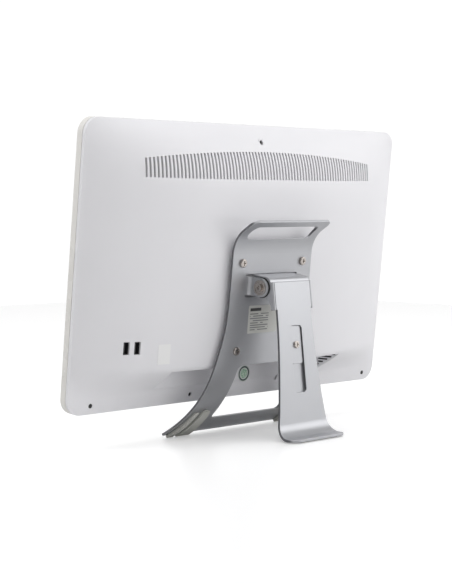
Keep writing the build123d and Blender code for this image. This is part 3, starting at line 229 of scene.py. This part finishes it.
def ring_sticker(name):
    """Clear film with a plain dark ring round a mottled green disc."""
    material, tree, shader = new_material(name)
    coords = object_coords(tree)
    across, along = measure_from(tree, coords, "round_sticker")
    squares = math_node(tree, "ADD", product(tree, across, across), product(tree, along, along))
    radius = math_node(tree, "POWER", squares, 0.5)
    speckle = noise(tree, coords, 700, 3)
    film = mix_colour(tree, speckle, (0.60, 0.64, 0.61), (0.70, 0.72, 0.70))
    blotches = ramp(tree, speckle, 0.42, 0.58, 0, 1)
    green = mix_colour(tree, blotches, (0.20, 0.42, 0.27), (0.55, 0.68, 0.56))
    disc = add(tree, "ShaderNodeMix", data_type="RGBA")
    tree.links.new(soft_step(tree, radius, DISC_R, DISC_R - DISC_BLUR), disc.inputs[0])
    tree.links.new(film, disc.inputs[MIX_A])
    tree.links.new(green, disc.inputs[MIX_B])
    ring = band(tree, radius, RING_INNER_R, RING_OUTER_R)
    ringed = layer(tree, disc.outputs[MIX_RESULT], (0.018, 0.05, 0.045), ring)
    tree.links.new(ringed, shader.inputs["Base Color"])
    shader.inputs["Roughness"].default_value = 0.35
    bump(tree, speckle, 0.2, FINE_GRAIN, shader)
    return material


ROW_PITCH, ROW_FOOT, BAR_HEIGHT = 2.6, 0.6, 1.0
BAR_LENGTH, BAR_GAP_SHARE = 4.2, 0.28
PRINT_X, PRINT_V = (-22.0, 9.0), (-13.0, 7.5)
HEADING_X, HEADING_V = (-22.0, -4.0), (9.5, 13.0)


def broken_rows(tree, across, along):
    """Rows of bars, with a random share of their lengths left out."""
    row = math_node(tree, "FLOOR", math_node(tree, "DIVIDE", along, ROW_PITCH), 0)
    within = math_node(tree, "SUBTRACT", along, product(tree, row, ROW_PITCH))
    column = math_node(tree, "FLOOR", math_node(tree, "DIVIDE", across, BAR_LENGTH), 0)
    cell = add(tree, "ShaderNodeCombineXYZ")
    tree.links.new(column, cell.inputs[0])
    tree.links.new(row, cell.inputs[1])
    breaks = add(tree, "ShaderNodeTexWhiteNoise", noise_dimensions="2D")
    tree.links.new(cell.outputs[0], breaks.inputs[0])
    printed = math_node(tree, "GREATER_THAN", breaks.outputs["Value"], BAR_GAP_SHARE)
    return product(tree, band(tree, within, ROW_FOOT, ROW_FOOT + BAR_HEIGHT), printed)


def barred_label(name):
    """Silvery film with a plain dark block and rows of short grey bars, nothing that reads."""
    material, tree, shader = new_material(name)
    coords = object_coords(tree)
    across, along = measure_from(tree, coords, "rating_label")
    fibres = noise(tree, coords, 900, 3)
    base = mix_colour(tree, fibres, (0.66, 0.66, 0.62), (0.72, 0.72, 0.69))
    bars = product(tree, broken_rows(tree, across, along), panel(tree, across, along, PRINT_X, PRINT_V))
    painted = layer(tree, base, (0.20, 0.20, 0.20), bars)
    heading = panel(tree, across, along, HEADING_X, HEADING_V)
    painted = layer(tree, painted, (0.06, 0.06, 0.06), heading)
    tree.links.new(painted, shader.inputs["Base Color"])
    shader.inputs["Roughness"].default_value = 0.4
    shader.inputs["Metallic"].default_value = 0.15
    bump(tree, fibres, 0.15, FINE_GRAIN, shader)
    return material


ACTIVE_X, ACTIVE_V = (-236.5, 236.5), (-130.0, 133.5)


def screen_glass(name):
    """Switched-off panel: black border, a slightly lighter active area and a faint haze."""
    material, tree, shader = new_material(name)
    coords = object_coords(tree)
    across, along = measure_from(tree, coords, "lcd_screen")
    active = panel(tree, across, along, ACTIVE_X, ACTIVE_V, edge=0.3)
    haze = noise(tree, coords, 14, 3)
    border = mix_colour(tree, haze, (0.004, 0.004, 0.005), (0.006, 0.006, 0.007))
    tree.links.new(layer(tree, border, (0.011, 0.012, 0.015), active), shader.inputs["Base Color"])
    tree.links.new(spread(tree, haze, 0.10, 0.17), shader.inputs["Roughness"])
    shader.inputs["Coat Weight"].default_value = 0.5
    shader.inputs["Coat Roughness"].default_value = 0.05
    bump(tree, noise(tree, coords, 2500, 1), 0.05, 0.00001, shader)
    return material


GRIP_HALF_WIDTH = 40                             # the stand's inner cut-outs get no painted edge shade

MAT = {
    "cover": surface("cover_white", (0.80, 0.795, 0.82), 0.42, mottling=0.012, coat=0.08),
    "bezel": surface("bezel_white", (0.79, 0.775, 0.745), 0.3, mottling=0.012, coat=0.25),
    "silver": sheet_metal("silver_coat", clear_half_width=GRIP_HALF_WIDTH),
    "silver_leg": sheet_metal("silver_coat_leg"),
    "zinc": surface("zinc_steel", (0.55, 0.55, 0.52), 0.38, metallic=0.9, patch=60, mottling=0.12),
    "screw": surface("plated_screw", (0.50, 0.46, 0.43), 0.2, metallic=1.0, mottling=0.12, patch=700),
    "screw_dark": surface("dark_screw", (0.06, 0.06, 0.06), 0.35, metallic=0.8),
    "rubber": surface("grey_rubber", (0.56, 0.56, 0.52), 0.62, mottling=0.05, grain=1500),
    "washer": surface("black_washer", (0.02, 0.02, 0.02), 0.5),
    "board": surface("board_green", (0.03, 0.14, 0.06), 0.45, mottling=0.15, patch=80),
    "chip": surface("black_plastic", (0.025, 0.025, 0.027), 0.5, mottling=0.1),
    "alu": surface("bare_aluminium", (0.72, 0.72, 0.73), 0.35, metallic=1.0),
    "copper": surface("copper", (0.72, 0.38, 0.22), 0.3, metallic=1.0),
    "port": surface("connector_steel", (0.62, 0.62, 0.62), 0.3, metallic=1.0),
    "paper": surface("white_paper", (0.86, 0.86, 0.86), 0.6, mottling=0.02),
    "label": barred_label("rating_label"),
    "ring": ring_sticker("round_sticker"),
    "ribbon": surface("ribbon", (0.7, 0.7, 0.66), 0.5),
    "tray": surface("backlight_tray", (0.75, 0.75, 0.73), 0.5),
    "screen": screen_glass("screen_dark"),
}

SLOT_MATERIAL = {
    "cover_white": "cover", "bezel_white": "bezel", "screen": "screen", "plate_silver": "silver",
    "steel_zinc": "zinc", "screw_silver": "screw", "screw_black": "screw_dark",
    "rubber_grey": "rubber", "washer_black": "washer", "board_green": "board",
    "chip_black": "chip", "alu": "alu", "copper": "copper", "label_white": "paper",
    "label_ring": "ring", "port_steel": "port", "ribbon": "ribbon", "backlight": "tray",
}
for entry in RECORD["subparts"]:
    node = frame["nodes"][entry["node"]]
    node.data.materials.clear()
    node.data.materials.append(MAT[SLOT_MATERIAL[entry["material_slot"]]])
frame["nodes"]["rating_label"].data.materials[0] = MAT["label"]
frame["nodes"]["leg_plate"].data.materials[0] = MAT["silver_leg"]


# ---------------------------------------------------------------- softened edges
BEVEL_SEGMENTS = 3
SHARP_ANGLE = math.radians(35)
FLAT_ANGLE = math.radians(0.3)
WELD_DISTANCE = 0.000002

EDGE_ROUNDING = {
    "stand_plate": 0.45, "leg_plate": 0.45, "hinge_bracket": 0.35, "leg_slide_block": 0.4,
    "front_foot_pads": 0.5, "hinge_discs": 0.25,
}


def soften(name, width_mm):
    """Rounds the sharp edges that stamping, moulding and tumbling leave slightly round."""
    node = frame["nodes"][name]
    weld = node.modifiers.new("weld", "WELD")
    weld.merge_threshold = WELD_DISTANCE
    flats = node.modifiers.new("join_flats", "DECIMATE")
    flats.decimate_type = "DISSOLVE"
    flats.angle_limit = FLAT_ANGLE
    bevel = node.modifiers.new("edge_round", "BEVEL")
    bevel.width = width_mm * MM
    bevel.segments = BEVEL_SEGMENTS
    bevel.limit_method = "ANGLE"
    bevel.angle_limit = SHARP_ANGLE
    bevel.use_clamp_overlap = False
    bevel.harden_normals = True
    shading = node.modifiers.new("even_shading", "WEIGHTED_NORMAL")
    shading.keep_sharp = True


for name, width_mm in EDGE_ROUNDING.items():
    soften(name, width_mm)


# ---------------------------------------------------------------- studio
FLOOR_SIZE = 4.0
FLOOR_GLOW = 0.30                                # whitens the floor itself without lighting the object
WORLD_FULL, WORLD_ABOVE, WORLD_BESIDE = 1.02, 0.5, 0.45
FILL_POWER = 2.2

LENS_MM = 94.22
SENSOR_MM = 36
CAMERA_OFFSET = Vector((1.2896, 1.1773, 0.11435))
CAMERA_BACK = Vector((0.718, 0.694, 0.0567)).normalized()


def make_floor():
    bpy.ops.mesh.primitive_plane_add(size=FLOOR_SIZE, location=(0, 0, 0))
    floor = bpy.context.object
    floor.name = "floor"
    material, tree, shader = new_material("floor_white")
    coords = object_coords(tree)
    tint = mix_colour(tree, noise(tree, coords, 3.0), (0.73, 0.73, 0.73), (0.75, 0.75, 0.75))
    tree.links.new(tint, shader.inputs["Base Color"])
    shader.inputs["Roughness"].default_value = 0.3
    shader.inputs["Emission Color"].default_value = (1, 1, 1, 1)
    seen = add(tree, "ShaderNodeLightPath").outputs["Is Camera Ray"]
    tree.links.new(product(tree, seen, FLOOR_GLOW), shader.inputs["Emission Strength"])
    floor.data.materials.append(material)


def make_world():
    """White surroundings that darken upwards and to one side."""
    world = bpy.data.worlds.new("studio")
    scene.world = world
    world.use_nodes = True
    tree = world.node_tree
    background = tree.nodes["Background"]
    coords = add(tree, "ShaderNodeTexCoord").outputs["Generated"]
    split = add(tree, "ShaderNodeSeparateXYZ")
    tree.links.new(coords, split.inputs[0])
    by_height = ramp(tree, split.outputs["Z"], 0.2, 0.7, WORLD_FULL, WORLD_ABOVE)
    by_side = ramp(tree, split.outputs["X"], -0.5, 0.8, WORLD_FULL, WORLD_BESIDE)
    background.inputs["Color"].default_value = (1, 1, 1, 1)
    tree.links.new(product(tree, by_height, by_side), background.inputs["Strength"])


def area_light(name, at, towards, size, power):
    data = bpy.data.lights.new(name, "AREA")
    data.shape = "RECTANGLE"
    data.size, data.size_y = size
    data.energy = power
    light = bpy.data.objects.new(name, data)
    scene.collection.objects.link(light)
    light.location = at
    aim = Vector(towards) - Vector(at)
    light.rotation_euler = aim.to_track_quat("-Z", "Y").to_euler()
    return light


def make_lights():
    area_light("top_softbox", (0, 0.2, 2.4), (0, 0, 0), (2.2, 2.2), 32)
    area_light("side_softbox", (-1.9, 1.5, 1.1), (0, 0, 0.2), (1.6, 1.6), 12)
    area_light("rim_strip", (0.95, -0.40, 0.80), (0.25, -0.05, 0.2), (0.3, 0.5), 3.2)
    fill = area_light("low_fill", (-1.1, 1.2, 0.12), (0, 0, 0.14), (1.2, 0.2), FILL_POWER)
    fill.visible_glossy = False


def make_camera():
    data = bpy.data.cameras.new("camera")
    data.lens = LENS_MM
    data.sensor_width = SENSOR_MM
    data.sensor_fit = "AUTO"
    camera = bpy.data.objects.new("camera", data)
    scene.collection.objects.link(camera)
    camera.location = CENTRE + CAMERA_OFFSET
    side = Vector((0, 0, 1)).cross(CAMERA_BACK).normalized()
    up = CAMERA_BACK.cross(side)
    camera.matrix_world = Matrix((
        (side.x, up.x, CAMERA_BACK.x, camera.location.x),
        (side.y, up.y, CAMERA_BACK.y, camera.location.y),
        (side.z, up.z, CAMERA_BACK.z, camera.location.z),
        (0, 0, 0, 1),
    ))
    scene.camera = camera


make_floor()
make_world()
make_lights()
make_camera()
